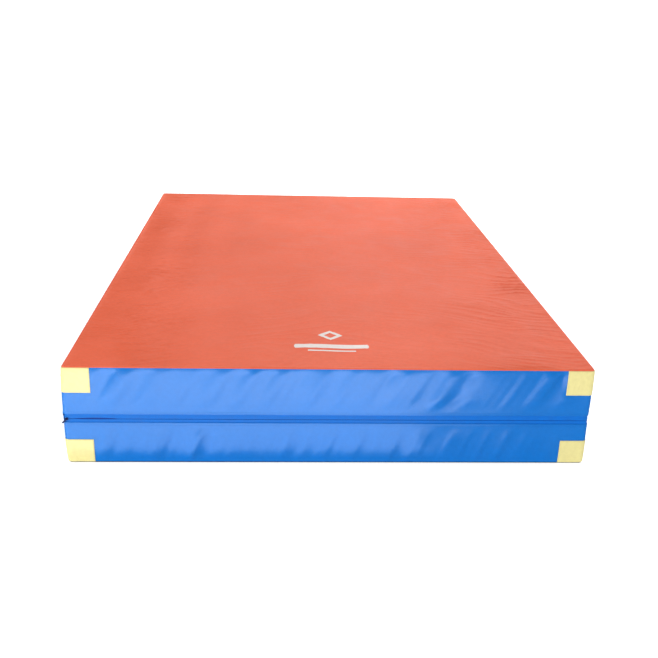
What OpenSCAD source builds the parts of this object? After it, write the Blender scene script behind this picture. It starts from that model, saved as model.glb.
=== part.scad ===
// Folding gym mat: two foam blocks that fold on each other like a book.
// +X runs to the right, +Y runs to the back and +Z runs up.
// The origin is at the middle of the base. The fold line runs along the left side,
// half-way up, and a zip closes the front, right and back sides a little below it.
// Each part of a half is drawn as it lies in the lower half, and in_upper() mirrors it.

/* [Mat] */
// Width of the closed mat, along X
mat_w = 2000; // [1200:10:2600]
// Depth of the closed mat, along Y
mat_d = 3000; // [1800:10:4200]
// Height of one half, so the closed mat is twice as high
half_h = 200; // [150:5:320]
// Gap between the two inner panels of the closed mat
fold_gap = 2; // [1:0.5:6]

/* [Cover] */
// Thickness of the coated cover sheet
sheet_t = 1; // [0.6:0.1:1.5]
// Clearance between the side walls and the foam core
foam_play = 6; // [5:0.5:15]

/* [Corner patches] */
// Height of a corner patch, and its width on each of the two walls
patch_size = 105; // [60:5:120]
// Thickness of a corner patch, which is sewn on the outside of the walls
patch_t = 0.8; // [0.5:0.1:1.5]

/* [Fold hinge] */
// How far the fold line stands off the left wall
hinge_reach = 10; // [8:0.5:16]
// Height of the band that each hinge strip is sewn down along
hinge_seam = 30; // [15:1:45]
// Height from the top of that band to the fold line
hinge_rise = 15; // [12:1:25]
// Clearance that each strip's free edge keeps from the fold line
hinge_slit = 1.6; // [1.2:0.1:2.5]
// Distance from the ends of the strips to the front and back of the mat
hinge_end = 20; // [5:1:60]

/* [Zip] */
// How far the zip's line lies below the fold, as the upper cover hangs over the lower
zip_drop = 14; // [8:0.5:18]
// Width of the upper zip tape that shows between the upper hem and the zip's slot
upper_show = 19; // [12:0.5:23]
// Width of the lower zip tape that shows between the zip's slot and the lower hem
lower_show = 14; // [12:0.5:23]
// Width of each zip tape that is sewn behind the wall
tape_margin = 10; // [6:0.5:15]
// Thickness of the zip tape
tape_t = 0.8; // [0.5:0.1:1.2]
// Radius of the coil along the inside edge of each tape
coil_r = 1.4; // [1:0.1:1.6]
// Slot between the two coils, where the slider's post runs
coil_slot = 1.6; // [1.4:0.1:2.4]
// Clearance between the coil and what lies behind it
coil_play = 0.8; // [0.4:0.1:2]
// Length of the stop at each end of a coil
stop_l = 3; // [2:0.5:5]
// Distance from the left side of the mat to the stops
stop_inset = 2; // [1.5:0.5:4]

/* [Zip slider] */
// Length of the slider's plate, along the zip
slider_l = 12; // [9:0.5:16]
// Width of the slider's plate
slider_w = 10; // [8:0.5:13]
// Thickness of the slider's plate
slider_t = 2; // [1.5:0.1:3]
// Clearance between the slider's plate and the tapes
slider_play = 0.4; // [0.3:0.1:0.8]
// Distance from the left side of the mat to the middle of the parked slider
slider_park = 7; // [7:0.5:20]
// Clearance on each side of the slider's post in the slot
post_play = 0.2; // [0.1:0.05:0.4]
// Length of the slider's post
post_l = 4; // [3:0.5:6]

/* [Pull tab and ring] */
// Length of the pull tab, from the slider's bar to the ring's eye
pull_l = 22; // [13:0.5:30]
// Width of the pull tab
pull_w = 6; // [5:0.5:8]
// Thickness of the pull tab
pull_t = 1.4; // [1:0.1:2]
// Angle that the pull tab hangs below the zip's line
pull_droop = 45; // [20:1:80]
// Height of the slider's bar above the slider's plate
bar_lift = 2.2; // [2:0.1:3]
// Radius of the slider's bar
bar_r = 0.75; // [0.6:0.05:0.9]
// Radial clearance between the bar and the pull tab
bar_play = 0.1; // [0.05:0.05:0.2]
// Mean radius of the ring
ring_r = 4.2; // [3.6:0.1:6]
// Radius of the ring's wire
ring_wire_r = 0.7; // [0.5:0.05:0.8]
// Radial clearance between the ring's wire and its eye
eye_play = 0.6; // [0.5:0.05:0.7]
// Length of the ring's eye
eye_l = 3; // [2:0.5:3]

/* [Handles] */
// Distance from the middle of the mat to the middle of each of its two handles
handle_y = 750; // [300:10:850]
// Width of the webbing
web_w = 40; // [30:1:60]
// Thickness of the webbing
web_t = 2.5; // [1.5:0.1:4]
// Length of the sewn-down end at each side of the handle
web_end = 50; // [30:5:80]
// Length of the raised grip of a handle
grip_l = 90; // [80:5:130]
// Length along the wall in which the webbing rises to the grip
grip_slope = 35; // [25:5:60]
// Clear depth behind the grip
grip_gap = 25; // [20:1:40]

/* [Hidden] */
$fn = 48;

// Colours
red = [0.93, 0.42, 0.32];
blue = [0.22, 0.53, 0.88];
yellow = [0.96, 0.92, 0.62];
tape_blue = [0.05, 0.42, 0.82];
navy = [0.05, 0.09, 0.22];
grey = [0.25, 0.26, 0.28];
foam_cream = [0.93, 0.90, 0.78];
nickel = [0.78, 0.79, 0.80];
web_blue = [0.10, 0.28, 0.62];

// The mat's side faces and the height of each layer of the lower half
side_x = mat_w / 2;
side_y = mat_d / 2;
inner_face = half_h - fold_gap / 2;
foam_top = inner_face - sheet_t;

// Heights of the zip's line and of each tape's edge and hem; those of the upper half
// are measured down from the top, as its parts are drawn in the lower half
zip_line = half_h - zip_drop;
lower_edge = zip_line - coil_slot / 2;
upper_edge = 2 * half_h - zip_line - coil_slot / 2;
lower_hem = lower_edge - lower_show;
upper_hem = upper_edge - upper_show;

// The zip lies inside the wall's plane, and the inner panel ends short of its coil
tape_out = sheet_t;
tape_in = tape_out + tape_t;
zip_inset = tape_in + 2 * coil_r + coil_play;
foam_inset = max(sheet_t + foam_play, zip_inset);
coil_start = stop_inset + stop_l + coil_play;

// The slider's plate stands in front of the tapes, and its bar in front of the plate
plate_back = side_y - tape_out + slider_play;
plate_front = plate_back + slider_t;
bar_y = plate_front + bar_lift;
slider_x = -side_x + slider_park;
post_depth = slider_play + tape_t + coil_r;
ear_t = 1;
ear_gap = 0.4;
barrel_r = bar_r + bar_play + 0.7;
barrel_l = pull_w - 2 * ear_gap - 2 * ear_t;
eye_r = ring_wire_r + eye_play;
eye_wall = 0.6;

// Draws its children in the upper half
module in_upper() {
    translate([0, 0, 2 * half_h]) mirror([0, 0, 1]) children();
}

// A box from its lowest corner to its highest
module block(low, high) {
    translate(low) cube(high - low);
}

// A block of foam that fills the cover from its outer sheet to its inner panel
module foam_core() {
    x = side_x - foam_inset;
    y = side_y - foam_inset;
    color(foam_cream) block([-x, -y, sheet_t], [x, y, foam_top]);
}

// The sheet on the outside of a half: the landing face above, the base below
module outer_sheet(sheet_colour) {
    color(sheet_colour) block([-side_x, -side_y, 0], [side_x, side_y, sheet_t]);
}

// The panel on the fold side of a half, cut short at the three zipped edges
module inner_panel() {
    low = [-side_x, -side_y + zip_inset, foam_top];
    high = [side_x - zip_inset, side_y - zip_inset, inner_face];
    color(red) block(low, high);
}

// A front or back wall up to its hem: side is -1 at the front and 1 at the back
module end_wall(side, hem) {
    low = [-side_x, side_y - sheet_t, sheet_t];
    high = [side_x, side_y, hem];
    color(blue) mirror([0, side < 0 ? 1 : 0, 0]) block(low, high);
}

// The long wall that carries the handles, up to its hem at the zip
module right_wall(hem) {
    low = [side_x - sheet_t, -side_y + sheet_t, sheet_t];
    high = [side_x, side_y - sheet_t, hem];
    color(blue) block(low, high);
}

// The long wall along the fold line, which reaches up to the inner panel
module left_wall() {
    low = [-side_x, -side_y + sheet_t, sheet_t];
    high = [-side_x + sheet_t, side_y - sheet_t, foam_top];
    color(blue) block(low, high);
}

// A patch wrapped round a vertical corner: sx and sy are the corner's signs
module corner_patch(sx, sy) {
    mirror([sx < 0 ? 1 : 0, 0, 0]) mirror([0, sy < 0 ? 1 : 0, 0])
    color(yellow) difference() {
        block([side_x - patch_size, side_y - patch_size, 0],
              [side_x + patch_t, side_y + patch_t, patch_size]);
        block([side_x - patch_size - 1, side_y - patch_size - 1, -1],
              [side_x, side_y, patch_size + 1]);
    }
}

// A band along the front, right and back sides, between two insets from the mat's
// side faces, from start_x on the left round to the same place at the back
module three_side_band(out_inset, in_inset, start_x, low_z, high_z) {
    difference() {
        block([start_x, -side_y + out_inset, low_z],
              [side_x - out_inset, side_y - out_inset, high_z]);
        block([start_x - 1, -side_y + in_inset, low_z - 1],
              [side_x - in_inset, side_y - in_inset, high_z + 1]);
    }
}

// One zip tape, sewn inside the front, right and back walls, up to its edge
module zip_tape(hem, edge) {
    color(tape_blue)
        three_side_band(tape_out, tape_in, -side_x + sheet_t, hem - tape_margin, edge);
}

// One coil, sewn to the back of its tape along the tape's edge
module zip_coil(edge) {
    coil_in = tape_in + 2 * coil_r;
    color(navy) three_side_band(tape_in, coil_in, -side_x + coil_start,
                                edge - 2 * coil_r, edge);
}

// The stops at the two ends of a coil
module zip_stops(edge) {
    low = [-side_x + stop_inset, side_y - tape_in - 2 * coil_r, edge - 2 * coil_r];
    high = [-side_x + stop_inset + stop_l, side_y - tape_in, edge];
    color(nickel) for (end = [0, 1]) mirror([0, end, 0]) block(low, high);
}

// A webbing carry handle on the right wall, centred at the depth y
module handle(y) {
    foot = grip_l / 2 + grip_slope;
    end = foot + web_end;
    half = [[0, end], [0, foot], [grip_gap, grip_l / 2]];
    path = concat(half, [for (i = [2 : -1 : 0]) [half[i].x, -half[i].y]]);
    outline = concat(path, [for (i = [5 : -1 : 0]) path[i] + [web_t, 0]]);
    color(web_blue) translate([side_x, y, (half_h - web_w) / 2])
        linear_extrude(height = web_w) polygon(outline);
}

// The hinge strip of one half, from the band sewn on the left wall to the fold line
module hinge_strip() {
    fold = [-side_x - hinge_reach, half_h];
    rise_z = half_h - hinge_rise;
    bend = [-side_x - sheet_t / 2, rise_z];
    along = (fold - bend) / norm(fold - bend);
    across = [along.y, -along.x] * sheet_t / 2;
    tip = fold - along * hinge_slit;
    outline = [
        [-side_x, rise_z - hinge_seam], [-side_x, rise_z], tip + across,
        tip - across, [-side_x - sheet_t, rise_z], [-side_x - sheet_t, rise_z - hinge_seam]
    ];
    y = side_y - hinge_end;
    color(blue) translate([0, y, 0]) rotate([90, 0, 0])
        linear_extrude(height = 2 * y) polygon(outline);
}

// Puts its children in the pull tab's own axes: X along the tab, Y along the
// slider's bar and Z away from the mat, with the origin at the middle of the bar
module on_bar() {
    translate([slider_x, -bar_y, zip_line]) rotate([0, 180 - pull_droop, 0]) rotate([90, 0, 0])
        children();
}

// The slider: a plate over both tapes, a post in the slot and a bar between two ears
module zip_slider() {
    post_w = coil_slot - 2 * post_play;
    nose = slider_w / 3;
    plate = [
        [-slider_l / 2, -nose / 2], [-slider_l / 6, -slider_w / 2], [slider_l / 2, -slider_w / 2],
        [slider_l / 2, slider_w / 2], [-slider_l / 6, slider_w / 2], [-slider_l / 2, nose / 2]
    ];
    color(navy) {
        translate([slider_x, -plate_back, zip_line]) rotate([90, 0, 0])
            linear_extrude(height = slider_t) polygon(plate);
        translate([slider_x - post_l / 2, -plate_back, zip_line - post_w / 2])
            cube([post_l, post_depth, post_w]);
        on_bar() {
            for (end = [-1, 1])
                translate([-barrel_r, end * (pull_w - ear_t) / 2 - ear_t / 2, -bar_lift])
                    cube([2 * barrel_r, ear_t, bar_lift + barrel_r]);
            translate([0, -pull_w / 2, 0]) rotate([-90, 0, 0]) cylinder(r = bar_r, h = pull_w);
        }
    }
}

// The pull tab: a barrel on the slider's bar, a plate and an eye for the ring
module pull_tab() {
    neck_start = bar_r + bar_play + 0.2;
    plate_end = pull_l - eye_r - eye_wall / 2;
    color(navy) on_bar() difference() {
        union() {
            translate([0, -barrel_l / 2, 0]) rotate([-90, 0, 0])
                cylinder(r = barrel_r, h = barrel_l);
            translate([neck_start, -barrel_l / 2, -pull_t / 2])
                cube([2 * barrel_r - neck_start + 1, barrel_l, pull_t]);
            translate([2 * barrel_r, -pull_w / 2, -pull_t / 2])
                cube([plate_end - 2 * barrel_r, pull_w, pull_t]);
            translate([pull_l, -eye_l / 2, 0]) rotate([-90, 0, 0])
                cylinder(r = eye_r + eye_wall, h = eye_l);
        }
        translate([0, -pull_w, 0]) rotate([-90, 0, 0]) cylinder(r = bar_r + bar_play, h = 2 * pull_w);
        translate([pull_l, -pull_w, 0]) rotate([-90, 0, 0]) cylinder(r = eye_r, h = 2 * pull_w);
    }
}

// The ring through the eye of the pull tab
module pull_ring() {
    color(nickel) on_bar() translate([pull_l + ring_r, 0, 0])
        rotate_extrude() translate([ring_r, 0]) circle(r = ring_wire_r);
}

foam_core();  // lower_foam_core
outer_sheet(grey);  // lower_base_sheet
inner_panel();  // lower_inner_panel
end_wall(-1, lower_hem);  // lower_front_wall
right_wall(lower_hem);  // lower_right_wall
end_wall(1, lower_hem);  // lower_back_wall
left_wall();  // lower_left_wall
corner_patch(-1, -1);  // lower_patch_front_left
corner_patch(1, -1);  // lower_patch_front_right
corner_patch(-1, 1);  // lower_patch_back_left
corner_patch(1, 1);  // lower_patch_back_right
zip_tape(lower_hem, lower_edge);  // lower_zip_tape
zip_coil(lower_edge);  // lower_zip_coil
zip_stops(lower_edge);  // lower_zip_stops
handle(-handle_y);  // lower_handle_front
handle(handle_y);  // lower_handle_back
hinge_strip();  // lower_hinge_strip
in_upper() foam_core();  // upper_foam_core
in_upper() outer_sheet(red);  // upper_top_panel
in_upper() inner_panel();  // upper_inner_panel
in_upper() end_wall(-1, upper_hem);  // upper_front_wall
in_upper() right_wall(upper_hem);  // upper_right_wall
in_upper() end_wall(1, upper_hem);  // upper_back_wall
in_upper() left_wall();  // upper_left_wall
in_upper() corner_patch(-1, -1);  // upper_patch_front_left
in_upper() corner_patch(1, -1);  // upper_patch_front_right
in_upper() corner_patch(-1, 1);  // upper_patch_back_left
in_upper() corner_patch(1, 1);  // upper_patch_back_right
in_upper() zip_tape(upper_hem, upper_edge);  // upper_zip_tape
in_upper() zip_coil(upper_edge);  // upper_zip_coil
in_upper() zip_stops(upper_edge);  // upper_zip_stops
in_upper() handle(-handle_y);  // upper_handle_front
in_upper() handle(handle_y);  // upper_handle_back
in_upper() hinge_strip();  // upper_hinge_strip
zip_slider();
pull_tab();
pull_ring();
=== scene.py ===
"""Looks of the folding gym mat: soft cover panels, corner patches, zip, hinge strip and handles."""
import math

import bpy
import numpy as np
from mathutils import Matrix, Vector
from mathutils.bvhtree import BVHTree


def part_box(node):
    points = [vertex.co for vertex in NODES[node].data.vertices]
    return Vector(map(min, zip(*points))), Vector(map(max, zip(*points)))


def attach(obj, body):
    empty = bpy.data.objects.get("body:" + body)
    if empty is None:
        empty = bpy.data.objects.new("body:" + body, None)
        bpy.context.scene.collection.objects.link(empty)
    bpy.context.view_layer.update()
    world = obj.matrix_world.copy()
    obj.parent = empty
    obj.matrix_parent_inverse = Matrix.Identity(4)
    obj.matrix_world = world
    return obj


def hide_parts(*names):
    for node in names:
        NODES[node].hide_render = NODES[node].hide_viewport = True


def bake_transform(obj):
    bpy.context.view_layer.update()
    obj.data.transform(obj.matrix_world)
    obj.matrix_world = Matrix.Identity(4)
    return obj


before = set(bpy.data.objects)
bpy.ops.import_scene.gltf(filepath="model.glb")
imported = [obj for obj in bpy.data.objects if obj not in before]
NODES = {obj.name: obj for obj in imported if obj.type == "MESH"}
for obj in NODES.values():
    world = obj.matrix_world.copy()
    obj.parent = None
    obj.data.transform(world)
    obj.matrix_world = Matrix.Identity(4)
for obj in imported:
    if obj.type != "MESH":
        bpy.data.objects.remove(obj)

MM = 0.001
scene = bpy.context.scene
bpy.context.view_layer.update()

# ---------------------------------------------------------------- camera
CAMERA_AT = Vector((-0.1926, -4.5588, 1.7128))
CAMERA_AZIMUTH = math.radians(3.285)
CAMERA_DROP = math.radians(20.68)
CAMERA_ROLL = math.radians(1.713)
CAMERA_LENS = 48.9
CAMERA_CLIP = 3000


def make_camera():
    """A camera that looks along azimuth and down by drop, rolled about its own axis."""
    sa, ca = math.sin(CAMERA_AZIMUTH), math.cos(CAMERA_AZIMUTH)
    sd, cd = math.sin(CAMERA_DROP), math.cos(CAMERA_DROP)
    sr, cr = math.sin(CAMERA_ROLL), math.cos(CAMERA_ROLL)
    ahead = Vector((sa * cd, ca * cd, -sd))
    level = Vector((ca, -sa, 0))
    above = level.cross(ahead)
    right = level * cr + above * sr
    up = above * cr - level * sr
    data = bpy.data.cameras.new("camera")
    data.lens = CAMERA_LENS
    data.sensor_width = 36
    data.clip_end = CAMERA_CLIP
    camera = bpy.data.objects.new("camera", data)
    turn = Matrix((right, up, -ahead)).transposed().to_4x4()
    camera.matrix_world = Matrix.Translation(CAMERA_AT) @ turn
    scene.collection.objects.link(camera)
    scene.camera = camera


make_camera()

# ---------------------------------------------------------------- sizes from the frame
HALF_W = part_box("upper_top_panel")[1].x
HALF_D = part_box("upper_top_panel")[1].y
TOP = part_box("upper_top_panel")[1].z
MID = TOP / 2
SHEET_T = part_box("lower_base_sheet")[1].z
HEMS = {"upper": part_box("upper_front_wall")[0].z, "lower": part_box("lower_front_wall")[1].z}
EDGES = {"upper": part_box("upper_zip_tape")[0].z, "lower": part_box("lower_zip_tape")[1].z}
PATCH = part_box("lower_patch_front_left")[1].z
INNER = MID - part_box("lower_inner_panel")[1].z
ZIP_INSET = HALF_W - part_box("lower_inner_panel")[1].x
STRIP_LOW, STRIP_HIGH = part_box("lower_hinge_strip")

CORNER_R = 16 * MM           # rounding of the mat's vertical corners
EDGE_R = 7 * MM              # rounding where the outer sheets turn down to the seam
EDGE_TURN = math.radians(72)
SEAM_TUCK = 1.8 * MM         # how far the walls are drawn in at that seam
SEAM_DROP = EDGE_R * (1 - math.cos(EDGE_TURN))
HEM_PROUD = 0.5 * MM         # how far the double cloth of a hem stands out
HALVES = {"upper": 1, "lower": -1}
SIDES = {"front": 0, "right": 1, "back": 2, "left": 3}
PILLOWS = {"front": 2.5 * MM, "right": 1.0 * MM, "back": 3.0 * MM, "left": 0.3 * MM}
LEFT_SWELL = 7.2 * MM        # how far the fold side stands out at mid height
SWELL_FROM, SWELL_FULL = 26 * MM, 4 * MM     # where the swell starts and is full, from the left side
HEM_FOLD = 5 * MM            # how far a tape runs up under its hem


# ---------------------------------------------------------------- small tools
def smooth(a, b, x):
    """0 below a, 1 above b, and a smooth step between."""
    t = np.clip((x - a) / (b - a), 0, 1)
    return t * t * (3 - 2 * t)


def waves(u, v, seed, low, high, angle=0.0, spread=math.pi, n=20):
    """A smooth random field of n plane waves, low to high metres long, within spread of angle."""
    rng = np.random.default_rng(seed)
    total = np.zeros(np.broadcast(u, v).shape)
    for _ in range(n):
        k = 2 * math.pi / rng.uniform(low, high)
        a = angle + rng.uniform(-spread, spread)
        total += np.sin(k * (u * math.cos(a) + v * math.sin(a)) + rng.uniform(0, 2 * math.pi))
    return total / math.sqrt(n / 2)


def creases(u, v, seed, low, high, angle=0.0, spread=math.pi, n=14):
    """A field of sharp-topped folds between 0 and 1, as crumpled coated fabric shows."""
    bend_u = u + low * 0.5 * waves(u, v, seed + 1, low * 2, high * 3, n=8)
    bend_v = v + low * 0.5 * waves(u, v, seed + 2, low * 2, high * 3, n=8)
    return np.exp(-np.abs(waves(bend_u, bend_v, seed, low, high, angle, spread, n)) * 1.6)


def steps(low, high, size, fine=None, band=0.0):
    """Grid lines from low to high, size apart, and fine apart within band of both ends."""
    if fine is None:
        return np.linspace(low, high, max(2, round((high - low) / size) + 1))
    edge = np.linspace(0, band, round(band / fine) + 1)
    middle = np.linspace(low + band, high - band, max(2, round((high - low - 2 * band) / size) + 1))
    return np.concatenate([low + edge[:-1], middle, high - edge[::-1][1:]])


def mesh_object(name, points, faces):
    """A smooth-shaded object in the scene."""
    data = bpy.data.meshes.new(name)
    data.from_pydata([tuple(p) for p in points], [], faces)
    data.validate()
    data.update()
    for polygon in data.polygons:
        polygon.use_smooth = True
    made = bpy.data.objects.new(name, data)
    scene.collection.objects.link(made)
    return made


def grid_faces(rows, columns, flip=False):
    """Quads of a grid whose points run along columns first."""
    i = np.arange(rows - 1)[:, None] * columns + np.arange(columns - 1)[None, :]
    quads = np.stack([i, i + 1, i + columns + 1, i + columns], axis=-1).reshape(-1, 4)
    return (quads[:, ::-1] if flip else quads).tolist()


def grid_object(name, points, flip=False):
    """A sheet from points shaped (rows, columns, 3)."""
    rows, columns = points.shape[:2]
    return mesh_object(name, points.reshape(-1, 3), grid_faces(rows, columns, flip))


def thicken(piece, thickness, offset=-1.0):
    """Gives a sheet a thickness: inwards for an offset of -1, to both sides for 0."""
    modifier = piece.modifiers.new("thickness", "SOLIDIFY")
    modifier.thickness = thickness
    modifier.offset = offset
    return piece


# ---------------------------------------------------------------- the mat's outline
def wall_length(side):
    """Length of a wall between the middles of its two rounded corners."""
    straight = (HALF_W if side in ("front", "back") else HALF_D) - CORNER_R
    return 2 * straight + CORNER_R * math.pi / 2


def around(side, u, out):
    """Plan points at u along a wall, from its middle, and out metres off its face."""
    along, off = (HALF_W, HALF_D) if side in ("front", "back") else (HALF_D, HALF_W)
    straight = along - CORNER_R
    angle = np.clip(np.abs(u) - straight, 0, None) / CORNER_R
    reach = CORNER_R + out
    x = np.sign(u) * (np.minimum(np.abs(u), straight) + reach * np.sin(angle))
    y = -(off - CORNER_R) - reach * np.cos(angle)
    turn = SIDES[side] * math.pi / 2
    return x * math.cos(turn) - y * math.sin(turn), x * math.sin(turn) + y * math.cos(turn)


def outline(side, u, z, out):
    """Plan points as above, with the swell of the fold side, which is greatest at mid height."""
    x, y = around(side, u, out)
    swell = LEFT_SWELL * (1 - ((z - MID) / MID)**2)
    return x - swell * smooth(-HALF_W + SWELL_FROM, -HALF_W + SWELL_FULL, x), y


def bulge(side, u, z):
    """How far a wall's face stands out at rest: a soft pillow between hem and seam."""
    above = np.clip((z - HEMS["upper"]) / (TOP - HEMS["upper"]), 0, 1)
    below = np.clip((HEMS["lower"] - z) / HEMS["lower"], 0, 1)
    pillow = np.sin(math.pi * np.where(z > MID, above, below))
    corner = (1.0 if side == "left" else 1.5) * MM * pillow**0.7
    flat = PILLOWS[side] * pillow
    near = smooth(0.03, 0.20, wall_length(side) / 2 - np.abs(u))
    return corner + (flat - corner) * near


def seam_pull(z):
    """How far a wall's face turns in as it nears the seam of the outer sheet."""
    gap = np.clip(np.minimum(z, TOP - z) - SEAM_DROP, 0, None)
    return SEAM_TUCK * np.exp(-gap / (3 * MM))


def wall_points(side, u, z, out=0.0):
    """Points on a wall's face at u along it and height z, out metres off it."""
    x, y = outline(side, u, z, bulge(side, u, z) - seam_pull(z) + out)
    return np.stack([x, y, z + 0 * x], axis=-1)


# ---------------------------------------------------------------- cloth simulation
SIM_FRAMES = 20
WALL_PRESSURE = 0.10
WALL_STIFFNESS = 16
WALL_CAP = 8 * MM            # furthest that the run may move a point
waiting = []                 # sheets for the run: each with its hold weights and its cap


def simulate_later(piece, hold, rest, cap):
    """Queues a sheet for the one cloth run: hold is 0 to 1 for each point, rest its larger cut shape."""
    waiting.append((piece, hold, cap))
    group = piece.vertex_groups.new(name="hold")
    for weight in np.unique(np.round(hold, 2)):
        members = np.nonzero(np.round(hold, 2) == weight)[0].tolist()
        group.add(members, float(weight), "REPLACE")
    piece.shape_key_add(name="start")
    cut = piece.shape_key_add(name="cut")
    cut.data.foreach_set("co", rest.reshape(-1))
    cloth = piece.modifiers.new("cloth", "CLOTH")
    settings = cloth.settings
    settings.rest_shape_key = cut
    settings.quality = 5
    settings.mass = 0.25
    settings.tension_stiffness = settings.compression_stiffness = WALL_STIFFNESS
    settings.shear_stiffness = WALL_STIFFNESS / 2
    settings.bending_stiffness = 0.6
    settings.air_damping = 2.0
    settings.use_pressure = True
    settings.uniform_pressure_force = WALL_PRESSURE
    settings.vertex_group_mass = "hold"
    settings.effector_weights.gravity = 0
    cloth.collision_settings.use_collision = False
    cloth.point_cache.frame_start = 1
    cloth.point_cache.frame_end = SIM_FRAMES


def run_simulations():
    """Steps all queued sheets together, then keeps each result with its moves capped."""
    for number in range(1, SIM_FRAMES + 1):
        scene.frame_set(number)
    depsgraph = bpy.context.evaluated_depsgraph_get()
    for piece, hold, cap in waiting:
        count = len(piece.data.vertices)
        start, end = np.zeros(count * 3), np.zeros(count * 3)
        piece.data.vertices.foreach_get("co", start)
        end[:] = start
        result = piece.evaluated_get(depsgraph).to_mesh()
        result.vertices.foreach_get("co", end)
        piece.evaluated_get(depsgraph).to_mesh_clear()
        start, end = start.reshape(-1, 3), end.reshape(-1, 3)
        move = end - start
        size = np.linalg.norm(move, axis=1, keepdims=True)
        kept = start + move * np.minimum(1, cap / np.maximum(size, 1e-9))
        piece.modifiers.remove(piece.modifiers["cloth"])
        piece.shape_key_clear()
        piece.vertex_groups.clear()
        piece.data.vertices.foreach_set("co", kept.reshape(-1))
        piece.data.update()
    scene.frame_set(1)
    waiting.clear()


# ---------------------------------------------------------------- materials
class Graph:
    """Short helpers that add shader nodes to one material."""

    def __init__(self, name):
        self.material = bpy.data.materials.new(name)
        self.material.use_nodes = True
        self.tree = self.material.node_tree
        self.shader = self.tree.nodes["Principled BSDF"]

    def node(self, kind, **settings):
        made = self.tree.nodes.new(kind)
        for key, value in settings.items():
            setattr(made, key, value)
        return made

    def link(self, source, target):
        self.tree.links.new(source, target)

    def place(self, scale=(1, 1, 1)):
        """Object coordinates in metres, scaled."""
        coordinates = self.node("ShaderNodeTexCoord")
        mapping = self.node("ShaderNodeMapping")
        mapping.inputs["Scale"].default_value = scale
        self.link(coordinates.outputs["Object"], mapping.inputs["Vector"])
        return mapping.outputs["Vector"]

    def noise(self, vector, scale, detail=3.0, roughness=0.5, distortion=0.0):
        made = self.node("ShaderNodeTexNoise")
        made.inputs["Scale"].default_value = scale
        made.inputs["Detail"].default_value = detail
        made.inputs["Roughness"].default_value = roughness
        made.inputs["Distortion"].default_value = distortion
        self.link(vector, made.inputs["Vector"])
        return made.outputs["Fac"]

    def ramp(self, value, stops):
        made = self.node("ShaderNodeValToRGB")
        elements = made.color_ramp.elements
        while len(elements) < len(stops):
            elements.new(0.5)
        for element, (position, colour) in zip(elements, stops):
            element.position = position
            element.color = (*colour, 1) if len(colour) == 3 else colour
        self.link(value, made.inputs["Fac"])
        return made.outputs["Color"]

    def math(self, operation, a, b):
        made = self.node("ShaderNodeMath", operation=operation)
        for socket, value in zip(made.inputs, (a, b)):
            if isinstance(value, (int, float)):
                socket.default_value = value
            else:
                self.link(value, socket)
        return made.outputs[0]

    def mix(self, kind, factor, a, b):
        made = self.node("ShaderNodeMix", data_type="RGBA", blend_type=kind)
        for name, value in (("Factor", factor), ("A", a), ("B", b)):
            sockets = [s for s in made.inputs if s.name == name and s.enabled]
            if isinstance(value, (int, float)):
                sockets[0].default_value = value
            elif isinstance(value, tuple):
                sockets[0].default_value = (*value, 1)
            else:
                self.link(value, sockets[0])
        return [s for s in made.outputs if s.enabled][0]

    def bump(self, height, distance, strength=1.0, below=None):
        made = self.node("ShaderNodeBump")
        made.inputs["Strength"].default_value = strength
        made.inputs["Distance"].default_value = distance
        self.link(height, made.inputs["Height"])
        if below is not None:
            self.link(below, made.inputs["Normal"])
        return made.outputs["Normal"]


def grey(value):
    return (value, value, value)


# Depths of the finest relief, which is shaded and not modelled.
WEAVE_DEPTH = 0.05 * MM
GRAIN_DEPTH = 0.25 * MM
RIB_DEPTH = 0.2 * MM
SCRATCH_DEPTH = 0.02 * MM
CELL_DEPTH = 0.8 * MM
DOT_DEPTH = 0.4 * MM
WOVEN_ROUGHNESS = 0.75
FABRIC_IOR = 1.48


def coated_fabric(name, colour, painted_haze, wear=0.06, roughness=0.42, shine=0.5):
    """Coated polyester: soft sheen, faint colour drift whose lighter patches also carry a painted whitish sheen,
    the scrim's fine weave and small scuffs.
    """
    g = Graph(name)
    at = g.place()
    drift = g.noise(at, 2.2, 4, 0.55)
    mottle = g.noise(at, 60, 3, 0.6)
    dark = tuple(c * 0.95 for c in colour)
    # The lighter end of the drift is lifted towards white by the haze amount in every channel: a painted sheen
    # standing in for glare, on top of real tone drift.
    light = tuple(min(1, c * 1.03 + painted_haze) for c in colour)
    base = g.ramp(drift, [(0.30, dark), (0.70, light)])
    speck = g.ramp(mottle, [(0.35, grey(0.93)), (0.65, grey(1.0))])
    base = g.mix("MULTIPLY", 0.8, base, speck)
    scuff = g.ramp(g.noise(g.place((0.5, 1, 1)), 34, 6, 0.8, 0.6), [(0.58, grey(0)), (0.80, grey(1))])
    base = g.mix("MIX", g.math("MULTIPLY", scuff, wear), base, tuple(min(1, c * 0.8 + 0.12) for c in colour))
    g.link(base, g.shader.inputs["Base Color"])
    rough = g.ramp(g.noise(at, 9, 4, 0.6), [(0.3, grey(roughness - 0.06)), (0.7, grey(roughness + 0.08))])
    g.link(rough, g.shader.inputs["Roughness"])
    threads = g.node("ShaderNodeTexVoronoi")
    threads.inputs["Scale"].default_value = 900
    threads.inputs["Randomness"].default_value = 0.15
    g.link(at, threads.inputs["Vector"])
    fine = g.bump(threads.outputs["Distance"], WEAVE_DEPTH, 0.5)
    grain = g.bump(g.noise(at, 140, 4, 0.6), GRAIN_DEPTH, 0.6, fine)
    g.link(grain, g.shader.inputs["Normal"])
    g.shader.inputs["IOR"].default_value = FABRIC_IOR
    g.shader.inputs["Specular IOR Level"].default_value = shine
    return g.material


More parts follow.
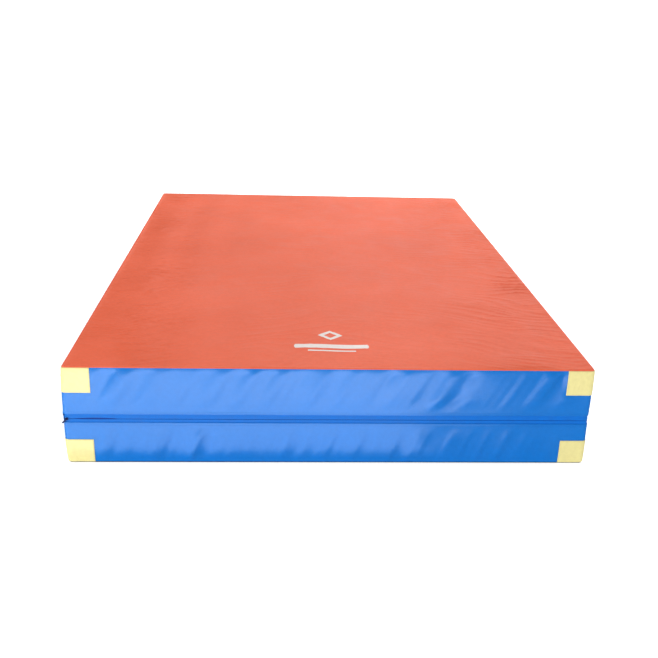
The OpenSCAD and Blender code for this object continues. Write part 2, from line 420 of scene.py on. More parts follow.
def woven(name, colour, pitch):
    """Webbing or zip tape: ribs crossed by finer threads, with painted shade in the grooves between them."""
    g = Graph(name)
    at = g.place((1 / pitch, 1 / pitch, 1 / pitch))
    wave = g.node("ShaderNodeTexWave", wave_type="BANDS", bands_direction="DIAGONAL")
    wave.inputs["Scale"].default_value = 0.5
    wave.inputs["Distortion"].default_value = 0.4
    g.link(at, wave.inputs["Vector"])
    cross = g.node("ShaderNodeTexWave", wave_type="BANDS", bands_direction="Z")
    cross.inputs["Scale"].default_value = 0.5
    g.link(at, cross.inputs["Vector"])
    height = g.math("MULTIPLY", wave.outputs["Fac"], cross.outputs["Fac"])
    drift = g.noise(g.place(), 30, 3, 0.5)
    # The weave's low places are darkened to three quarters of the colour: painted shade in the grooves between the
    # ribs.
    base = g.ramp(height, [(0.0, tuple(c * 0.75 for c in colour)), (0.6, colour)])
    base = g.mix("MULTIPLY", 0.6, base, g.ramp(drift, [(0.3, grey(0.85)), (0.7, grey(1.0))]))
    g.link(base, g.shader.inputs["Base Color"])
    rough = g.ramp(drift, [(0.3, grey(WOVEN_ROUGHNESS)), (0.7, grey(WOVEN_ROUGHNESS + 0.12))])
    g.link(rough, g.shader.inputs["Roughness"])
    g.link(g.bump(height, RIB_DEPTH, 0.7), g.shader.inputs["Normal"])
    g.shader.inputs["Specular IOR Level"].default_value = 0.15
    return g.material


def metal(name, colour, roughness, metallic, shine=0.5):
    """A small hard part, painted or plated, with fine scratches and rubbed patches."""
    g = Graph(name)
    fine = g.noise(g.place((1, 1, 8)), 900, 3, 0.7)
    rubbed = g.noise(g.place(), 260, 4, 0.6)
    dark = tuple(c * 0.8 for c in colour)
    light = tuple(min(1, c * 1.15) for c in colour)
    base = g.ramp(rubbed, [(0.35, dark), (0.7, light)])
    g.link(base, g.shader.inputs["Base Color"])
    g.link(g.ramp(rubbed, [(0.3, grey(roughness)), (0.7, grey(roughness + 0.15))]), g.shader.inputs["Roughness"])
    g.link(g.bump(fine, SCRATCH_DEPTH, 0.4), g.shader.inputs["Normal"])
    g.shader.inputs["Metallic"].default_value = metallic
    g.shader.inputs["Specular IOR Level"].default_value = shine
    return g.material


def foam_material():
    """Open foam: pale cell walls, with the cell hollows darkened as painted shade in the pits."""
    g = Graph("foam")
    cells = g.node("ShaderNodeTexVoronoi")
    cells.inputs["Scale"].default_value = 420
    g.link(g.place(), cells.inputs["Vector"])
    # Darker where the cell distance is small, at the bottoms of the pits: painted shade in the hollows.
    g.link(g.ramp(cells.outputs["Distance"], [(0.0, (0.55, 0.47, 0.30)), (0.5, (0.86, 0.80, 0.62))]),
           g.shader.inputs["Base Color"])
    g.link(g.bump(cells.outputs["Distance"], CELL_DEPTH, 0.8), g.shader.inputs["Normal"])
    g.link(g.ramp(g.noise(g.place(), 5), [(0.3, grey(0.85)), (0.7, grey(0.95))]), g.shader.inputs["Roughness"])
    return g.material


def grip_material():
    """Dark anti-slip sheet with a grid of small raised dots."""
    g = Graph("grip")
    dots = g.node("ShaderNodeTexVoronoi")
    dots.inputs["Scale"].default_value = 220
    dots.inputs["Randomness"].default_value = 0.0
    g.link(g.place(), dots.inputs["Vector"])
    raised = g.ramp(dots.outputs["Distance"], [(0.22, grey(1)), (0.34, grey(0))])
    drift = g.noise(g.place(), 3, 4, 0.6)
    base = g.ramp(drift, [(0.3, (0.020, 0.023, 0.030)), (0.7, (0.045, 0.050, 0.060))])
    base = g.mix("MIX", g.math("MULTIPLY", raised, 0.5), base, (0.09, 0.10, 0.12))
    g.link(base, g.shader.inputs["Base Color"])
    g.link(g.ramp(drift, [(0.3, grey(0.6)), (0.7, grey(0.75))]), g.shader.inputs["Roughness"])
    g.link(g.bump(raised, DOT_DEPTH, 0.8), g.shader.inputs["Normal"])
    return g.material


# The third number of each coated fabric is the painted whitish sheen lifted into its lighter patches.
RED = coated_fabric("red_coated", (0.90, 0.145, 0.062), 0.01, shine=0.5)
BLUE = coated_fabric("blue_coated", (0.001, 0.162, 0.57), 0.0, roughness=0.34, shine=0.22)
YELLOW = coated_fabric("yellow_coated", (0.76, 0.68, 0.29), 0.02, shine=0.22)
GRIP = grip_material()
TAPE = woven("zip_tape_weave", (0.002, 0.175, 0.70), 1.1 * MM)
WEBBING = woven("webbing_weave", (0.02, 0.09, 0.36), 1.8 * MM)
COIL = metal("coil_nylon", (0.001, 0.045, 0.36), 0.5, 0.0, 0.12)
BLUE_THREAD = woven("blue_thread", (0.01, 0.16, 0.58), 0.6 * MM)
YELLOW_THREAD = woven("yellow_thread", (0.80, 0.66, 0.20), 0.6 * MM)
PALE_THREAD = woven("pale_thread", (0.55, 0.62, 0.75), 0.6 * MM)
SLIDER = metal("slider_paint", (0.0006, 0.006, 0.060), 0.35, 0.0, 0.08)
NICKEL = metal("nickel", (0.75, 0.76, 0.78), 0.25, 0.4)
FOAM = foam_material()
PRINT = coated_fabric("white_print", (0.88, 0.80, 0.76), 0.02, 0.25)


def dress(piece, material):
    """Gives a new piece its look."""
    piece.data.materials.clear()
    piece.data.materials.append(material)
    return piece


# ---------------------------------------------------------------- outer sheets and inner panels
def rounded_plan(x, y):
    """Moves square plan points into the rounded outline, and gives their distance from its edge."""
    u = np.clip(np.abs(x) - (HALF_W - CORNER_R), 0, None) / CORNER_R
    v = np.clip(np.abs(y) - (HALF_D - CORNER_R), 0, None) / CORNER_R
    both = (u > 0) & (v > 0)
    ru = np.where(both, u * np.sqrt(1 - v * v / 2), u)
    rv = np.where(both, v * np.sqrt(1 - u * u / 2), v)
    px = np.where(u > 0, np.sign(x) * (HALF_W - CORNER_R + ru * CORNER_R), x)
    py = np.where(v > 0, np.sign(y) * (HALF_D - CORNER_R + rv * CORNER_R), y)
    inner = np.minimum(HALF_W - CORNER_R - np.abs(x), HALF_D - CORNER_R - np.abs(y))
    return px, py, CORNER_R * (1 - np.hypot(ru, rv)) + np.where((u > 0) | (v > 0), 0, inner)


RIM_CELL, RIM_BAND = 2.0 * MM, 20 * MM       # the finer mesh along an outer sheet's rim


def outer_sheet(name, node, upward, material, relief, cell):
    """The landing face or the base: a sheet whose rim turns over to the seam."""
    x = steps(-HALF_W, HALF_W, cell[0], RIM_CELL, RIM_BAND)
    y = steps(-HALF_D, HALF_D, cell[1], RIM_CELL, RIM_BAND)
    gx, gy = np.meshgrid(x, y)
    px, py, edge = rounded_plan(gx, gy)
    angle = np.clip((EDGE_R - edge) / EDGE_R, 0, 1) * EDGE_TURN
    drop = EDGE_R * (1 - np.cos(angle))
    inset = np.where(edge < EDGE_R, EDGE_R - EDGE_R * np.sin(angle) - edge, 0)
    dx = np.clip(np.abs(px) - (HALF_W - CORNER_R), 0, None)
    dy = np.clip(np.abs(py) - (HALF_D - CORNER_R), 0, None)
    length = np.maximum(np.hypot(dx, dy), 1e-9)
    px = px - np.sign(px) * dx / length * inset
    py = py - np.sign(py) * dy / length * inset
    rise = relief(gx, gy) * smooth(0, 25 * MM, edge)
    z = TOP - drop + rise if upward else drop + np.abs(rise)
    sheet = grid_object(name, np.stack([px, py, z], axis=-1), flip=not upward)
    dress(sheet, material)
    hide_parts(node)
    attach(sheet, "upper_half" if upward else "lower_half")
    return sheet


DIMPLES = (                  # soft hollows in the landing face: x, y, half width, half depth, depth
    (0.46, -1.16, 0.035, 0.11, 3.0 * MM), (0.51, -1.05, 0.06, 0.05, 1.5 * MM), (0.80, -1.32, 0.05, 0.05, 2.5 * MM),
    (0.02, -1.44, 0.012, 0.06, 1.5 * MM), (-0.55, 0.4, 0.10, 0.30, 2.0 * MM), (0.35, 0.1, 0.12, 0.35, 2.0 * MM),
)


def landing_relief(x, y):
    """Crinkles of the landing face: streaks across the mat, dense by its long edges, and soft bands."""
    side = smooth(0.55, 0.03, HALF_W - np.abs(x))
    fan = y + 0.30 * np.abs(x) + 0.05 * np.sin(4.0 * x + 2.0 * y)
    patchy = smooth(-0.9, 1.1, waves(x, y, 13, 0.25, 0.7, n=10))
    streak = creases(x * 0.45, fan, 11, 0.070, 0.150, math.pi / 2, 0.8, 14)
    fine = creases(x * 0.5, fan, 17, 0.032, 0.065, math.pi / 2, 0.9, 14)
    relief = 1.1 * MM * waves(x, y, 3, 0.35, 0.9, n=10)
    relief += 0.7 * MM * waves(x, y, 5, 0.18, 0.28, 0.0, 0.06, 6)
    relief += 5.0 * MM * streak * (0.35 + 0.65 * side) * (0.35 + 0.65 * patchy)
    relief += 2.4 * MM * fine * (0.25 + 0.75 * side) * (0.4 + 0.6 * patchy)
    relief -= 2.5 * MM
    gathers = smooth(-HALF_D + 0.14, -HALF_D, y) + smooth(HALF_D - 0.14, HALF_D, y)
    relief += 0.9 * MM * gathers * creases(x, y * 0.15, 23, 0.03, 0.08, 0.0, 0.25)
    for at_x, at_y, wide, deep, depth in DIMPLES:
        relief -= depth * np.exp(-((x - at_x) / wide)**2 - ((y - at_y) / deep)**2)
    return relief


def base_relief(x, y):
    """The slight unevenness of the base sheet."""
    return 0.3 * MM * np.abs(waves(x, y, 31, 0.2, 0.6, n=8))


def inner_relief(x, y):
    """Crinkles of the inner panels."""
    return 0.5 * MM * creases(x, y, 41, 0.03, 0.08, n=14) - 0.5 * MM


def inner_panel(half):
    """The fold-side face of one half."""
    up = HALVES[half]
    x = steps(-HALF_W + 1.5 * MM, HALF_W - ZIP_INSET, 14 * MM, 3 * MM, 12 * MM)
    y = steps(-HALF_D + ZIP_INSET, HALF_D - ZIP_INSET, 14 * MM, 3 * MM, 12 * MM)
    gx, gy = np.meshgrid(x, y)
    edge = np.minimum(np.minimum(gx - x[0], x[-1] - gx), np.minimum(gy - y[0], y[-1] - gy))
    sink = 2.5 * MM * np.exp(-edge / (4 * MM))
    relief = inner_relief(gx, gy) * smooth(0, 20 * MM, edge)
    z = MID + up * (INNER + sink - np.minimum(relief, 0.3 * MM))
    sheet = grid_object(f"{half}_inner_sheet", np.stack([gx, gy, z], axis=-1), flip=up > 0)
    dress(sheet, RED)
    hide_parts(f"{half}_inner_panel")
    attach(sheet, f"{half}_half")


FOAM_INSET = 6 * MM          # keeps the foam behind the hollows of its cover
FOAM_SOFT = 6 * MM           # width of its soft edges


def foam_block(half):
    """The sealed foam core, with soft edges."""
    low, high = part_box(f"{half}_foam_core")
    x, y, z = ((low[i] + FOAM_INSET, high[i] - FOAM_INSET) for i in range(3))
    corners = [(a, b, c) for c in z for b in y for a in x]
    faces = [(0, 2, 3, 1), (4, 5, 7, 6), (0, 1, 5, 4), (2, 6, 7, 3), (0, 4, 6, 2), (1, 3, 7, 5)]
    block = mesh_object(f"{half}_foam", corners, faces)
    bevel = block.modifiers.new("soft_edges", "BEVEL")
    bevel.width = FOAM_SOFT
    bevel.segments = 3
    dress(block, FOAM)
    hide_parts(f"{half}_foam_core")
    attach(block, f"{half}_half")


# ---------------------------------------------------------------- walls
FOLD_DEPTH = 3.2 * MM        # height of the walls' leaning folds
RIPPLE_DEPTH = 0.5 * MM      # height of the finer ripples
QUIET = 0.2                  # share of both on the fold side, whose two walls meet when the mat is open
HEM_TURN = -2.5 * MM         # how far the very edge of a hem turns in
SPARE_CLOTH = 0.045          # how much larger than its place a wall is cut, across its folds
HANDLE_LOW, HANDLE_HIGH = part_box("upper_handle_back")
HANDLE_Y = (HANDLE_LOW.y + HANDLE_HIGH.y) / 2
HANDLE_HALF = (HANDLE_HIGH.y - HANDLE_LOW.y) / 2


def wall_span(half, side):
    """Heights of a wall's hem (or its fold edge, on the left) and of its outer seam."""
    up = HALVES[half]
    seam = TOP - SEAM_DROP if up > 0 else SEAM_DROP
    return (MID + up * (INNER + SHEET_T) if side == "left" else HEMS[half]), seam


def wall(half, side):
    """One wall of a half: a sheet from the outer seam to the hem, with loose cloth between."""
    up = HALVES[half]
    length = wall_length(side)
    hem_z, seam_z = wall_span(half, side)
    u = steps(-length / 2, length / 2, 8 * MM, 4 * MM, 24 * MM)
    rise = np.concatenate([[0, 0.001], steps(0.004, 1, 1 / 26)])
    gu, gt = np.meshgrid(u, rise)
    z = hem_z + (seam_z - hem_z) * gt
    seed = 100 + 10 * SIDES[side] + (up > 0)
    loose = np.minimum(smooth(0.06, 0.40, gt), smooth(1, 0.86, gt))
    end = length / 2 - np.abs(gu)
    to_seam = np.minimum(z, TOP - z)
    patched = smooth(PATCH + 8 * MM, PATCH - 2 * MM, end) * smooth(PATCH + 8 * MM, PATCH - 2 * MM, to_seam)
    free = loose * (1 - patched) * smooth(0, 30 * MM, end)
    if side == "right":
        foot = np.abs(np.abs(gu) - HANDLE_Y)
        free *= smooth(HANDLE_HALF - 70 * MM, HANDLE_HALF - 80 * MM, foot) + \
            smooth(HANDLE_HALF + 5 * MM, HANDLE_HALF + 20 * MM, foot)
    lean = math.radians(26 + 8 * math.sin(seed))
    level = z - (hem_z + seam_z) / 2
    across = gu * math.cos(lean) - level * math.sin(lean)
    fold = waves(across, gu * 0.1, seed, 0.060, 0.16, 0.0, 0.10, n=12)
    uneven = 0.55 + 0.45 * smooth(-0.6, 1.2, waves(gu, level, seed + 7, 0.25, 0.7, n=8))
    ripple = waves(across, gu * 0.1, seed + 3, 0.030, 0.050, 0.0, 0.12, n=12)
    loud = QUIET if side == "left" else 1.0
    out = loud * (FOLD_DEPTH * fold + RIPPLE_DEPTH * ripple) * uneven * free
    out += np.where(gt < 0.09, HEM_PROUD, 0) * smooth(0.10, 0.08, gt)
    out[0, :] = HEM_TURN if side != "left" else 0
    points = wall_points(side, gu, z, out)
    sheet = grid_object(f"{half}_{side}_wall_sheet", points, flip=up < 0)
    spare = SPARE_CLOTH * (0.5 + 0.5 * uneven)
    cut = np.stack([gu + spare * across * math.cos(lean), 0 * z, z - spare * across * math.sin(lean)], axis=-1)
    simulate_later(sheet, (1 - 0.985 * free).reshape(-1), cut, WALL_CAP * loud)
    dress(sheet, BLUE)
    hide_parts(f"{half}_{side}_wall")
    return sheet


def finish_wall(sheet, half):
    """Joins a wall to its half, once it has its final shape."""
    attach(sheet, f"{half}_half")


# ---------------------------------------------------------------- corner patches
PATCH_OUT = 1.4 * MM         # how far a patch stands off the walls
PATCH_SHEET = 0.9 * MM       # its thickness
PATCH_SHARE = 0.95           # its width on each wall, as a share of the patch in the frame
LOWER_SHARE = 0.96           # height of the lower patches, likewise
PATCH_HEM = 4 * MM           # distance of its stitches from its edges


def corner_points(first, second, w, z, out):
    """Points w along from a corner's middle: on the first wall below 0, on the second above."""
    a = wall_points(first, wall_length(first) / 2 + np.minimum(w, 0), z, out)
    b = wall_points(second, -wall_length(second) / 2 + np.maximum(w, 0), z, out)
    return np.where((w < 0)[..., None], a, b)


def patch_line(first, second, w, z):
    """A row of points and normals on the face of a patch."""
    w, z = (np.asarray(v, float) + 0 * (np.asarray(w) + np.asarray(z)) for v in (w, z))
    line = corner_points(first, second, w, z, PATCH_OUT + 0.2 * MM)
    return line, corner_points(first, second, w, z, PATCH_OUT + 1.2 * MM) - line


def corner_patch(half, first, second):
    """A patch that wraps from the end of one wall on to the start of the next."""
    up = HALVES[half]
    seam_z = TOP - SEAM_DROP if up > 0 else SEAM_DROP
    edge_z = TOP - PATCH if up > 0 else LOWER_SHARE * PATCH
    wide = PATCH_SHARE * PATCH
    w = steps(-wide, wide, 3 * MM)
    rise = steps(0, 1, 1 / 34)
    gw, gt = np.meshgrid(w, rise)
    z = edge_z + (seam_z - edge_z) * gt
    seed = 300 + 10 * SIDES[first] + (up > 0)
    relief = 0.9 * MM * creases(gw, z, seed, 0.04, 0.09, math.pi / 4, 0.4, n=6)
    border = np.minimum(wide - np.abs(gw), np.abs(z - edge_z))
    points = corner_points(first, second, gw, z, PATCH_OUT + relief * smooth(0, 20 * MM, border))
    front_back = first if first in ("front", "back") else second
    left_right = second if first in ("front", "back") else first
    name = f"{half}_patch_{front_back}_{left_right}"
    sheet = grid_object(name + "_sheet", points, flip=up < 0)
    thicken(sheet, PATCH_SHEET)
    dress(sheet, YELLOW)
    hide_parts(name)
    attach(sheet, f"{half}_half")
    low_row = edge_z + up * PATCH_HEM
    rows = [patch_line(first, second, steps(-wide + PATCH_HEM, wide - PATCH_HEM, 4 * MM), low_row)]
    for w in (-wide + PATCH_HEM, wide - PATCH_HEM):
        rows.append(patch_line(first, second, w, steps(*sorted((low_row, seam_z)), 4 * MM)))
    stitches(f"{name}_stitches", f"{half}_half", rows, YELLOW_THREAD)


# ---------------------------------------------------------------- stitches
STITCH_LENGTH = 3.2 * MM
STITCH_PITCH = 4.6 * MM
THREAD_R = 0.42 * MM
HEM_ROWS = (3.5 * MM, 10 * MM)       # distances of the two rows from a hem's edge


def stitches(name, body, rows, material):
    """Thread along rows of (points, outward normals): a small spindle for each stitch."""
    length, radius = STITCH_LENGTH, THREAD_R
    points, faces = [], []
    facets = np.array([(0, 2, 4), (0, 4, 3), (0, 3, 5), (0, 5, 2), (1, 4, 2), (1, 3, 4), (1, 5, 3), (1, 2, 5)])
    for line, outward in rows:
        along = np.concatenate([[0], np.cumsum(np.linalg.norm(np.diff(line, axis=0), axis=1))])
        count = int(along[-1] / STITCH_PITCH)
        middle = (np.arange(count) + 0.5) * along[-1] / count

        def sample(values, at):
            return np.stack([np.interp(at, along, values[:, k]) for k in range(3)], axis=1)

        centre = sample(line, middle)
        run = sample(line, middle + length / 2) - sample(line, middle - length / 2)
        run /= np.linalg.norm(run, axis=1, keepdims=True)
        normal = sample(outward, middle)
        normal /= np.linalg.norm(normal, axis=1, keepdims=True)
        across = np.cross(run, normal)
        corners = np.stack([centre - run * length / 2, centre + run * length / 2,
                            centre + normal * radius * 1.4, centre - normal * radius,
                            centre + across * radius, centre - across * radius], axis=1)
        start = sum(len(p) for p in points)
        points.append(corners.reshape(-1, 3))
        faces.append((facets[None] + start + 6 * np.arange(count)[:, None, None]).reshape(-1, 3))
    thread = mesh_object(name, np.concatenate(points), np.concatenate(faces).tolist())
    dress(thread, material)
    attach(thread, body)


def wall_row(side, z, out):
    """A row along a wall at height z, as (points, outward normals)."""
    half = wall_length(side) / 2
    u = steps(-half, half, 8 * MM)
    inner = wall_points(side, u, z + 0 * u, out)
    return inner, wall_points(side, u, z + 0 * u, out + 1 * MM) - inner


def cover_stitches(half):
    """The two rows along the hems of a half."""
    rows = []
    for side in ("front", "right", "back"):
        for above in HEM_ROWS:
            rows.append(wall_row(side, HEMS[half] + HALVES[half] * above, HEM_PROUD + 0.2 * MM))
    stitches(f"{half}_hem_stitches", f"{half}_half", rows, BLUE_THREAD)


# ---------------------------------------------------------------- zip
ZIP_ROUTE = ("front", "right", "back")
LENS_FROM, LENS_TO = -0.965, -0.805      # where the closed zip gapes a little beside the slider
ROUTE_TRIM = 0.5 * MM                    # how far the zip stops short of the route's two ends
GAPES = {"upper": 3.4 * MM, "lower": 1.0 * MM}       # how far each tape's edge draws back there
TAPE_BACK = -4.6 * MM                    # where a tape ends behind the teeth


def zip_route(step):
    """Stations along the zip: the side, and the place along it, from front left to back left."""
    stations = []
    for side in ZIP_ROUTE:
        half = wall_length(side) / 2
        low = -half + (ROUTE_TRIM if side == "front" else 0)
        high = half - (ROUTE_TRIM if side == "back" else 0)
        for u in np.linspace(low, high, round((high - low) / step) + 1)[0 if side == "front" else 1:]:
            stations.append((side, u))
    return stations


def gape(side, x, half):
    """How far a tape's edge draws back from the slot beside the parked slider."""
    if side != "front" or not LENS_FROM < x < LENS_TO:
        return 0.0
    share = math.sin(math.pi * (x - LENS_FROM) / (LENS_TO - LENS_FROM)) ** 0.7
    return share * GAPES[half]


TAPE_PROFILE = (             # rows of a tape: share of the way to the slot, millimetres out, gapes
    (0.0, -2.2, 0), (0.25, -2.0, 0), (0.42, -1.8, 1), (0.60, -1.4, 1), (0.80, -1.1, 1), (0.93, -1.0, 1),
    (1.0, -1.3, 1), (1.0, -1.9, 1), (0.86, -2.2, 1), (0.70, -2.6, 0), (0.68, -4.6, 0),
)


def zip_tape(half):
    """One tape: under the hem, out to the slot, then folded back round behind the teeth."""
    up = HALVES[half]
    hem, edge = HEMS[half] + up * HEM_FOLD, EDGES[half]
    line = (EDGES["upper"] + EDGES["lower"]) / 2
    points = []
    for side, u in zip_route(8 * MM):
        row = []
        wobble = -0.4 * MM * (math.sin(u * 41 + SIDES[side]) * math.sin(u * 9.7))**2
        close = gape(side, u, half)
        for share, out, gapes in TAPE_PROFILE:
            z = hem + (edge + up * close * gapes - hem) * share
            x, y = outline(side, np.float64(u), z, out * MM + wobble * max(0, share * (1 - share)) * 4)
            row.append((x, y, z))
        x, y = outline(side, np.float64(u), line, TAPE_BACK)
        row.append((x, y, line))
        points.append(row)
    tape = grid_object(f"{half}_zip_tape_sheet", np.array(points, float), flip=up < 0)
    dress(tape, TAPE)
    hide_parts(f"{half}_zip_tape")
    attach(tape, f"{half}_half")


TOOTH_PITCH = 2.4 * MM


def zip_teeth(half):
    """The coil's turns, held in the fold of the tape and meshed with the other half's."""
    up = HALVES[half]
    near, far = EDGES[half] - up * 1.0 * MM, EDGES[half] + up * 4.4 * MM
    points, faces = [], []
    box = [(0, 1, 3, 2), (4, 6, 7, 5), (0, 4, 5, 1), (2, 3, 7, 6), (0, 2, 6, 4), (1, 5, 7, 3)]
    for number, (side, u) in enumerate(zip_route(TOOTH_PITCH)[3:-3]):
        base = 8 * number
        for du in (-0.55 * MM, 0.55 * MM):
            for out in (-4.0 * MM, -2.2 * MM):
                x, y = outline(side, np.float64(u + up * TOOTH_PITCH / 4 + du), near, out)
                points += [(x, y, near), (x, y, far)]
        faces += [tuple(base + i for i in face) for face in box]
    teeth = mesh_object(f"{half}_zip_coil_turns", points, faces)
    for polygon in teeth.data.polygons:
        polygon.use_smooth = False
    dress(teeth, COIL)
    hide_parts(f"{half}_zip_coil")
    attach(teeth, f"{half}_half")


# ---------------------------------------------------------------- hinge strip
BOW_REACH = 16 * MM          # height above and below the fold within which the band bows out
BAND_OUT = 1.0 * MM          # how far it stands off the walls where it is sewn
BAND_T = 0.8 * MM


def hinge_strip():
    """The band that joins the halves: sewn flat to both left walls, and bowed out at the fold."""
    y = steps(STRIP_LOW.y, STRIP_HIGH.y, 10 * MM)
    z = np.concatenate([steps(STRIP_LOW.z, MID - BOW_REACH, 3 * MM), steps(MID - 15 * MM, MID + 15 * MM, 1.5 * MM),
                        steps(MID + BOW_REACH, 2 * MID - STRIP_LOW.z, 3 * MM)])
    gz, gy = np.meshgrid(z, y)
    bow = np.cos(np.clip((gz - MID) / BOW_REACH, -1, 1) * math.pi / 2)
    pucker = 0.5 * MM * waves(gy, gz * 0.3, 61, 0.03, 0.07, 0.0, 0.2) * smooth(0.15, 0.6, bow)
    flat = wall_points("left", -gy, gz, BAND_OUT)[..., 0]
    x = flat + (STRIP_LOW.x - 1.4 * MM - flat) * bow + pucker
    strip = grid_object("hinge_band", np.stack([x, gy, gz], axis=-1))
    thicken(strip, BAND_T, 0.0)
    dress(strip, BLUE)
    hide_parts("lower_hinge_strip", "upper_hinge_strip")
    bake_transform(strip)
    u = steps(STRIP_LOW.y + 4 * MM, STRIP_HIGH.y - 4 * MM, 10 * MM)
    for half, up in HALVES.items():
        rows = []
        for z in (MID - up * (STRIP_LOW.z - MID) - up * 4 * MM, MID + up * 20 * MM):
            line = wall_points("left", u, z + 0 * u, 1.5 * MM)
            rows.append((line, wall_points("left", u, z + 0 * u, 3 * MM) - line))
        stitches(f"{half}_hinge_stitches", f"{half}_half", rows, BLUE_THREAD)


# ---------------------------------------------------------------- handles
WEBBING_T = 2.2 * MM
FOOT_OUT = 1.9 * MM          # how far a sewn foot stands off the wall


def handle(half, name):
    """A webbing loop: two flat sewn feet and a raised grip between them."""
    low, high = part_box(f"{half}_handle_{name}")
    middle, tall = (low.y + high.y) / 2, (high.z - low.z) / 2
    level = (low.z + high.z) / 2
    reach = high.x - low.x - 2.6 * MM        # how far the grip's middle stands off the wall
    y = steps(-HANDLE_HALF, HANDLE_HALF, 3 * MM)
    z = np.linspace(-tall, tall, 13)
    gz, gy = np.meshgrid(z, y)
    lift = smooth(HANDLE_HALF - 46 * MM, 40 * MM, np.abs(gy))
    curl = 1.6 * MM * lift * (gz / tall)**2
    x = HALF_W + FOOT_OUT + (reach - FOOT_OUT) * lift - curl
    strap = grid_object(f"{half}_handle_{name}_strap", np.stack([x, middle + gy, level + gz], axis=-1), flip=True)
    thicken(strap, WEBBING_T)
    rounding = strap.modifiers.new("edges", "BEVEL")
    rounding.width = 0.6 * MM
    rounding.segments = 2
    dress(strap, WEBBING)
    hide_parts(f"{half}_handle_{name}")
    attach(strap, f"{half}_half")
    rows = []
    face = HALF_W + 4.3 * MM
    for side in (-1, 1):
        a, b = side * (HANDLE_HALF - 4 * MM), side * (HANDLE_HALF - 40 * MM)
        h = tall - 4 * MM
        for p, q in (((a, -h), (a, h)), ((b, -h), (b, h)), ((a, h), (b, h)), ((a, -h), (b, -h)),
                     ((a, -h), (b, h)), ((a, h), (b, -h))):
            line = np.linspace((face, middle + p[0], level + p[1]), (face, middle + q[0], level + q[1]), 12)
            rows.append((line, np.tile((1.0, 0, 0), (12, 1))))
    stitches(f"{half}_handle_{name}_stitches", f"{half}_half", rows, PALE_THREAD)


# ---------------------------------------------------------------- printed mark
MARK_X, MARK_Y = 0.008, -HALF_D + 0.215
MARK_CELL = 3 * MM
MARK_ABOVE = 0.35 * MM       # height of the print over the landing face


def printed_mark(sheet):
    """A plain white mark near the front: a diamond over two stripes, laid on the landing face."""
    tree = BVHTree.FromObject(sheet, bpy.context.evaluated_depsgraph_get())
    size = MARK_CELL
    cells = []
    for i in range(-52, 53):
        for j in range(-20, 64):
            x, y = i * size, j * size
            diamond = abs(x) / 0.050 + abs(y - 0.130) / 0.052
            wide = abs(x) < 0.150 - 0.25 * abs(y - 0.012) and abs(y - 0.012) < 0.020
            thin = abs(x) < 0.095 and abs(y + 0.034) < 0.007
            if wide or thin or 0.52 < diamond < 1.0:
                cells.append((i, j))
    index, points, faces = {}, [], []
    for i, j in cells:
        face = []
        for a, b in ((0, 0), (1, 0), (1, 1), (0, 1)):
            key = (i + a, j + b)
            if key not in index:
                x, y = MARK_X + (key[0] - 0.5) * size, MARK_Y + (key[1] - 0.5) * size
                hit = tree.ray_cast(Vector((x, y, TOP + 0.05)), Vector((0, 0, -1)))[0]
                index[key] = len(points)
                points.append((x, y, hit.z + MARK_ABOVE))
            face.append(index[key])
        faces.append(face)
    mark = mesh_object("printed_mark", points, faces)
    dress(mark, PRINT)
    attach(mark, "upper_half")


# ---------------------------------------------------------------- build
top = outer_sheet("top_sheet", "upper_top_panel", True, RED, landing_relief, (12 * MM, 5 * MM))
outer_sheet("base_sheet", "lower_base_sheet", False, GRIP, base_relief, (20 * MM, 20 * MM))
walls = []
for half in HALVES:
    foam_block(half)
    inner_panel(half)
    for side in SIDES:
        walls.append((wall(half, side), half, side))
run_simulations()
for sheet, half, side in walls:
    finish_wall(sheet, half)
for half in HALVES:
    for first, second in (("front", "right"), ("right", "back"), ("back", "left"), ("left", "front")):
        corner_patch(half, first, second)
    cover_stitches(half)
    zip_tape(half)
    zip_teeth(half)
    for name in ("front", "back"):
        handle(half, name)
hinge_strip()
printed_mark(top)
for name, material in (("upper_zip_stops", NICKEL), ("lower_zip_stops", NICKEL),
                       ("zip_slider", SLIDER), ("pull_tab", SLIDER), ("pull_ring", NICKEL)):
    NODES[name].data.materials.clear()
    NODES[name].data.materials.append(material)


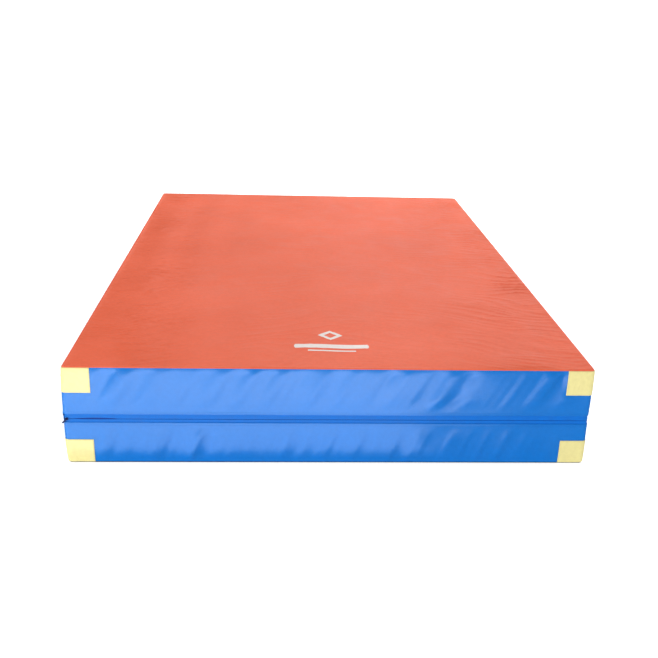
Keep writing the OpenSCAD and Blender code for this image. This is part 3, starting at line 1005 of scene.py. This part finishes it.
# ---------------------------------------------------------------- floor, light, world
FLOOR_GLOW = 0.62
WORLD_LEVEL = 0.69
FLOOR_REACH, FLOOR_RISE = 60, 16     # metres to the far walls, and their height
MATT, SHINE = False, True            # what a panel adds: shading, or reflections
PANELS = (                           # name, place, what it faces, size, radiance, kind
    ("key", (-5.5, -5.0, 2.0), (0, -1.0, 0.3), (2.4, 2.0), 12.6, MATT),
    ("back", (3.0, 7.0, 2.6), (0.2, 0, 0.4), (6, 2.4), 17.0, MATT),
    ("back_card", (1.5, 7.0, 3.8), (0.2, 0, 0.4), (7, 4), 0.62, SHINE),
    ("near_card", (-0.6, -1.76, 0.02), (-0.6, -1.76, 1.0), (2.0, 0.4), 6.0, SHINE),
    ("far_card", (-0.42, -3.06, 0.02), (-0.42, -3.06, 1.0), (2.4, 2.2), 9.0, SHINE),
    ("round_card", (-6.0, 2.0, 3.0), (0, 0, 0.2), (5, 3), 0.9, SHINE),
    ("side_card", (6.5, -1.0, 2.2), (0, 0, 0.2), (6, 2.5), 0.9, SHINE),
)


def make_floor():
    """A white floor that runs up into far walls and glows a little, so it stays white all over."""
    far = FLOOR_REACH
    low = [(-far, -far, 0), (far, -far, 0), (far, far, 0), (-far, far, 0)]
    floor = mesh_object("floor", low + [(x, y, FLOOR_RISE) for x, y, _ in low],
                        [(0, 1, 2, 3), (0, 4, 5, 1), (1, 5, 6, 2), (2, 6, 7, 3), (3, 7, 4, 0)])
    g = Graph("floor_paint")
    shade = g.ramp(g.noise(g.place(), 0.6, 2), [(0.3, grey(0.80)), (0.7, grey(0.84))])
    g.link(shade, g.shader.inputs["Base Color"])
    g.shader.inputs["Roughness"].default_value = 0.9
    g.shader.inputs["Emission Color"].default_value = (1, 1, 1, 1)
    g.shader.inputs["Emission Strength"].default_value = FLOOR_GLOW
    g.material.cycles.emission_sampling = "NONE"
    floor.data.materials.append(g.material)
    floor.visible_glossy = False


def area_light(name, at, towards, size, radiance, shine):
    """A soft panel out of the camera's sight, seen by reflections alone or by matt shading alone."""
    data = bpy.data.lights.new(name, "AREA")
    data.shape = "RECTANGLE"
    data.size, data.size_y = size
    data.energy = radiance * math.pi * size[0] * size[1]
    light = bpy.data.objects.new(name, data)
    light.location = at
    light.rotation_mode = "QUATERNION"
    light.rotation_quaternion = (Vector(towards) - Vector(at)).to_track_quat("-Z", "Y")
    light.visible_camera = False
    light.visible_diffuse = not shine
    light.visible_glossy = shine
    scene.collection.objects.link(light)


def make_light():
    """The even white surroundings and the panels."""
    world = bpy.data.worlds.new("studio")
    world.use_nodes = True
    world.node_tree.nodes["Background"].inputs["Color"].default_value = (1, 1, 1, 1)
    world.node_tree.nodes["Background"].inputs["Strength"].default_value = WORLD_LEVEL
    scene.world = world
    world.cycles_visibility.glossy = False
    for panel in PANELS:
        area_light(*panel)


make_floor()
make_light()
scene.view_settings.view_transform = "Standard"
